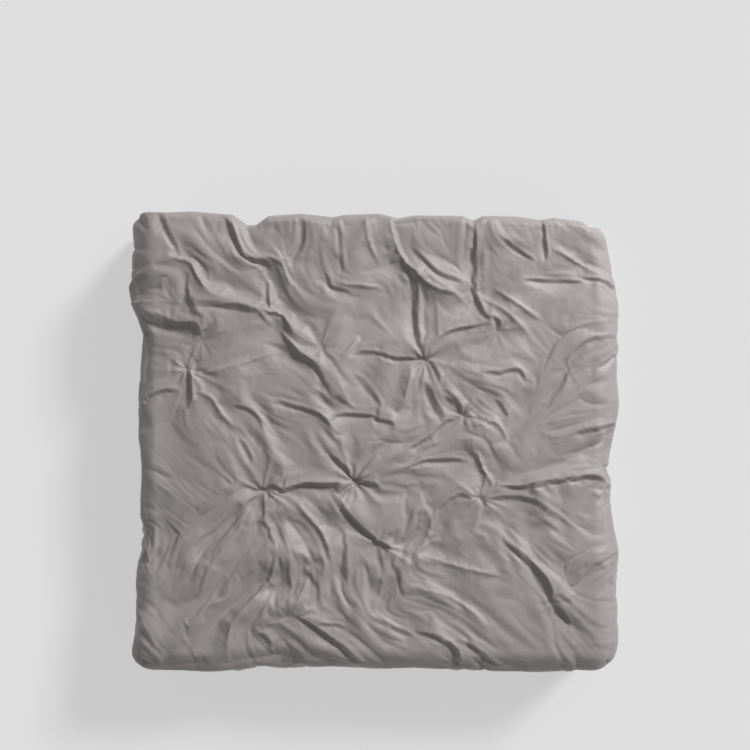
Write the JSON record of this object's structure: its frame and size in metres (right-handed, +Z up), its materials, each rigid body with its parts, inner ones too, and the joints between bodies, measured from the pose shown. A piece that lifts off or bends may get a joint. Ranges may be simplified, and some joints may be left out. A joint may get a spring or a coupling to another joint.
{
  "type": "duvet",
  "caption": "King-size duvet in a plain warm grey cotton cover, draped over a bed's sides and foot, with its head end turned under and a zip in the foot hem.",
  "frame": {"origin": "centre of the bounding box in plan, at the height of the hems' lowest line, which is the plane the part stands on", "axes": "+Z up, +Y towards the head end that is turned under, +X towards the sleeper's left as they lie on their back, which is to the right in a view from above with the head end at the top"},
  "size_m": [1.65, 1.5772, 0.38],
  "materials": {
    "cover_cloth": "matte",
    "ticking_cloth": "matte",
    "fibre_filling": "matte",
    "seam_thread": "matte",
    "zip_tape": "matte",
    "zip_coil": "satin",
    "zip_metal": "satin"
  },
  "bodies": {
    "duvet": {"baffle_walls": "ticking_cloth", "corner_tie_foot_left": "seam_thread", "corner_tie_foot_right": "seam_thread", "corner_tie_head_left": "seam_thread", "corner_tie_head_right": "seam_thread", "cover_head_fold": "cover_cloth", "cover_inner_panel": "cover_cloth", "cover_outer_panel": "cover_cloth", "cover_turned_end": "cover_cloth", "fill_corner_left": "fibre_filling", "fill_corner_right": "fibre_filling", "fill_foot_column1": "fibre_filling", "fill_foot_column2": "fibre_filling", "fill_foot_column3": "fibre_filling", "fill_foot_column4": "fibre_filling", "fill_head_column1": "fibre_filling", "fill_head_column2": "fibre_filling", "fill_head_column3": "fibre_filling", "fill_head_column4": "fibre_filling", "fill_left_row1": "fibre_filling", "fill_left_row2": "fibre_filling", "fill_left_row3": "fibre_filling", "fill_left_row4": "fibre_filling", "fill_right_row1": "fibre_filling", "fill_right_row2": "fibre_filling", "fill_right_row3": "fibre_filling", "fill_right_row4": "fibre_filling", "fill_top_row1_column1": "fibre_filling", "fill_top_row1_column2": "fibre_filling", "fill_top_row1_column3": "fibre_filling", "fill_top_row1_column4": "fibre_filling", "fill_top_row2_column1": "fibre_filling", "fill_top_row2_column2": "fibre_filling", "fill_top_row2_column3": "fibre_filling", "fill_top_row2_column4": "fibre_filling", "fill_top_row3_column1": "fibre_filling", "fill_top_row3_column2": "fibre_filling", "fill_top_row3_column3": "fibre_filling", "fill_top_row3_column4": "fibre_filling", "fill_turned_column1": "fibre_filling", "fill_turned_column2": "fibre_filling", "fill_turned_column3": "fibre_filling", "fill_turned_column4": "fibre_filling", "hem_seam_foot": "seam_thread", "hem_seam_left": "seam_thread", "hem_seam_right": "seam_thread", "ticking_inner": "ticking_cloth", "ticking_outer": "ticking_cloth", "zip_coil_lower": "zip_coil", "zip_coil_upper": "zip_coil", "zip_stop_left": "zip_metal", "zip_stop_right": "zip_metal", "zip_tape_lower": "zip_tape", "zip_tape_upper": "zip_tape"},
    "zip_slider": {"zip_slider": "zip_metal"},
    "zip_puller": {"zip_puller": "zip_metal"}
  },
  "joints": [
    {"name": "zip_slide", "type": "slide", "parent": "duvet", "child": "zip_slider", "axis": [1, 0, 0], "range_m": [-1.2606, 0]},
    {"name": "puller_hinge", "type": "hinge", "parent": "zip_slider", "child": "zip_puller", "pos_m": [0.6303, -0.7906, 0.0539], "axis": [-1, 0, 0], "range_deg": [0, 170]}
  ]
}
